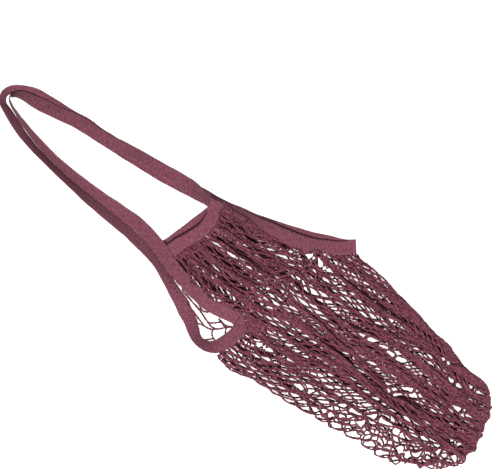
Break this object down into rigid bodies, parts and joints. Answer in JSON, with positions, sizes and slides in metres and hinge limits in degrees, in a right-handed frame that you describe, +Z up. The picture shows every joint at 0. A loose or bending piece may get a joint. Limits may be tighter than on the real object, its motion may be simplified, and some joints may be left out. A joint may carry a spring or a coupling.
{
  "type": "string shopping bag",
  "caption": "Empty string shopping bag lying flat: coarse stretch net body, two mouth bands and one endless knitted tape making both shoulder handles.",
  "frame": {"origin": "middle of the bag's footprint, on the surface that it lies on", "axes": "+Y from the foot to the handles' tip, +Z up off the surface, +X to the side where the slit lies folded shut"},
  "size_m": [0.2486, 0.8226, 0.0276],
  "materials": {
    "net": "knotless cotton string netting, dull burgundy",
    "tape": "cross-ribbed knitted cotton tape, dull burgundy"
  },
  "bodies": {
    "root": {"net_body": "net", "mouth_band_front": "tape", "mouth_band_back": "tape", "handle_tape": "tape"}
  },
  "joints": []
}
